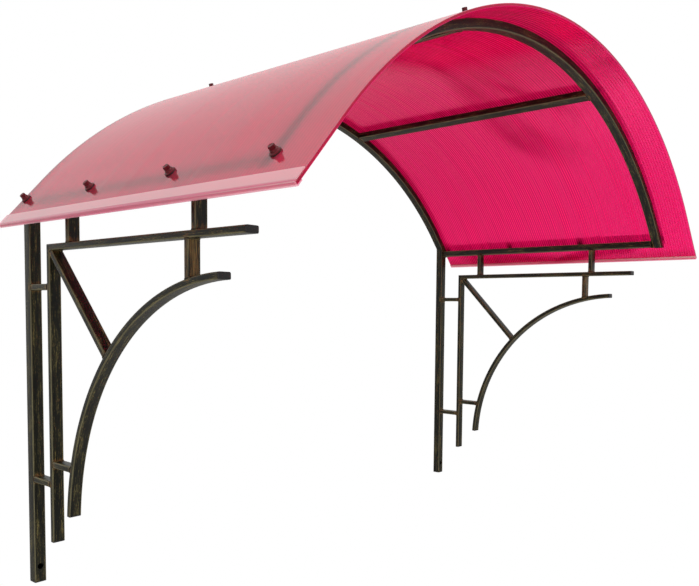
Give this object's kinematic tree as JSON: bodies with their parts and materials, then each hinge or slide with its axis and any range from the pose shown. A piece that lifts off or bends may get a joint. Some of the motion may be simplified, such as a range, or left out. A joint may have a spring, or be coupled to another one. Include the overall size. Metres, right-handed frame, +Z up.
{
  "type": "door canopy",
  "caption": "Door canopy: arched twin-wall polycarbonate sheet on a welded rectangular steel tube frame, held to the wall by two brackets with a quarter round arc in each.",
  "frame": {"origin": "flat back face of the rear arch at its crown, in the middle of the tube, on the wall plane", "axes": "+X along the wall, to the right for somebody facing the wall; +Y into the wall; +Z up"},
  "size_m": [1.2936, 0.713, 0.9534],
  "materials": {
    "steel": "near-black brown paint with brushed olive gold patina",
    "sheet": "translucent crimson twin-wall polycarbonate, glossy",
    "end_strip": "clear polycarbonate end profile over the crimson sheet",
    "screw": "dark red-brown coated steel with a rubber seal",
    "plug": "dark grey moulded plastic"
  },
  "bodies": {
    "root": {"rear_arch": "steel", "front_arch": "steel", "left_rail": "steel", "right_rail": "steel", "left_purlin": "steel", "right_purlin": "steel", "left_wall_leg": "steel", "left_upright": "steel", "left_arm": "steel", "left_arc": "steel", "left_brace": "steel", "left_arc_strut": "steel", "left_rear_riser": "steel", "left_front_riser": "steel", "left_upper_spacer": "steel", "left_lower_spacer": "steel", "left_arc_spacer": "steel", "right_wall_leg": "steel", "right_upright": "steel", "right_arm": "steel", "right_arc": "steel", "right_brace": "steel", "right_arc_strut": "steel", "right_rear_riser": "steel", "right_front_riser": "steel", "right_upper_spacer": "steel", "right_lower_spacer": "steel", "right_arc_spacer": "steel", "left_wall_leg_plug": "plug", "left_upright_plug": "plug", "left_arm_plug": "plug", "left_arc_foot_plug": "plug", "left_arc_tip_plug": "plug", "right_wall_leg_plug": "plug", "right_upright_plug": "plug", "right_arm_plug": "plug", "right_arc_foot_plug": "plug", "right_arc_tip_plug": "plug", "roof_sheet": "sheet", "left_end_profile": "end_strip", "right_end_profile": "end_strip", "screw_01": "screw", "screw_02": "screw", "screw_03": "screw", "screw_04": "screw", "screw_05": "screw", "screw_06": "screw", "screw_07": "screw", "screw_08": "screw", "screw_09": "screw", "screw_10": "screw", "screw_11": "screw", "screw_12": "screw"}
  },
  "joints": []
}
